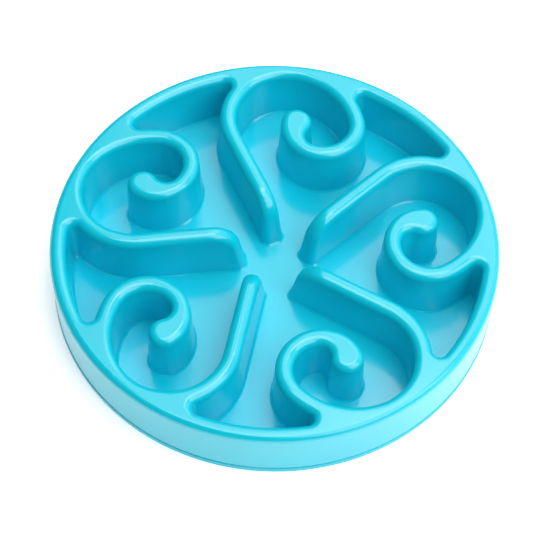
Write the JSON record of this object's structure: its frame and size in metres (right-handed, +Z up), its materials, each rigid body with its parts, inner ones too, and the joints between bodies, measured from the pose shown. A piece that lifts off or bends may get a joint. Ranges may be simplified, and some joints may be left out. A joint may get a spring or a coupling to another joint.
{
  "type": "slow feeder bowl",
  "caption": "Round shallow pet bowl whose food well is divided by curling spiral ridges that slow eating, on a soft non-slip base ring.",
  "frame": {"origin": "centre of the base, at the level of the surface that the bowl stands on", "axes": "+Z up out of the food well; +X right and +Y away from the viewer in the picture"},
  "size_m": [0.25, 0.25, 0.036],
  "materials": {
    "bowl_plastic": "glossy injection-moulded plastic in cyan",
    "ring_rubber": "soft moulded elastomer in the bowl's cyan"
  },
  "bodies": {
    "root": {"bowl": "bowl_plastic", "base_ring": "ring_rubber"}
  },
  "joints": []
}
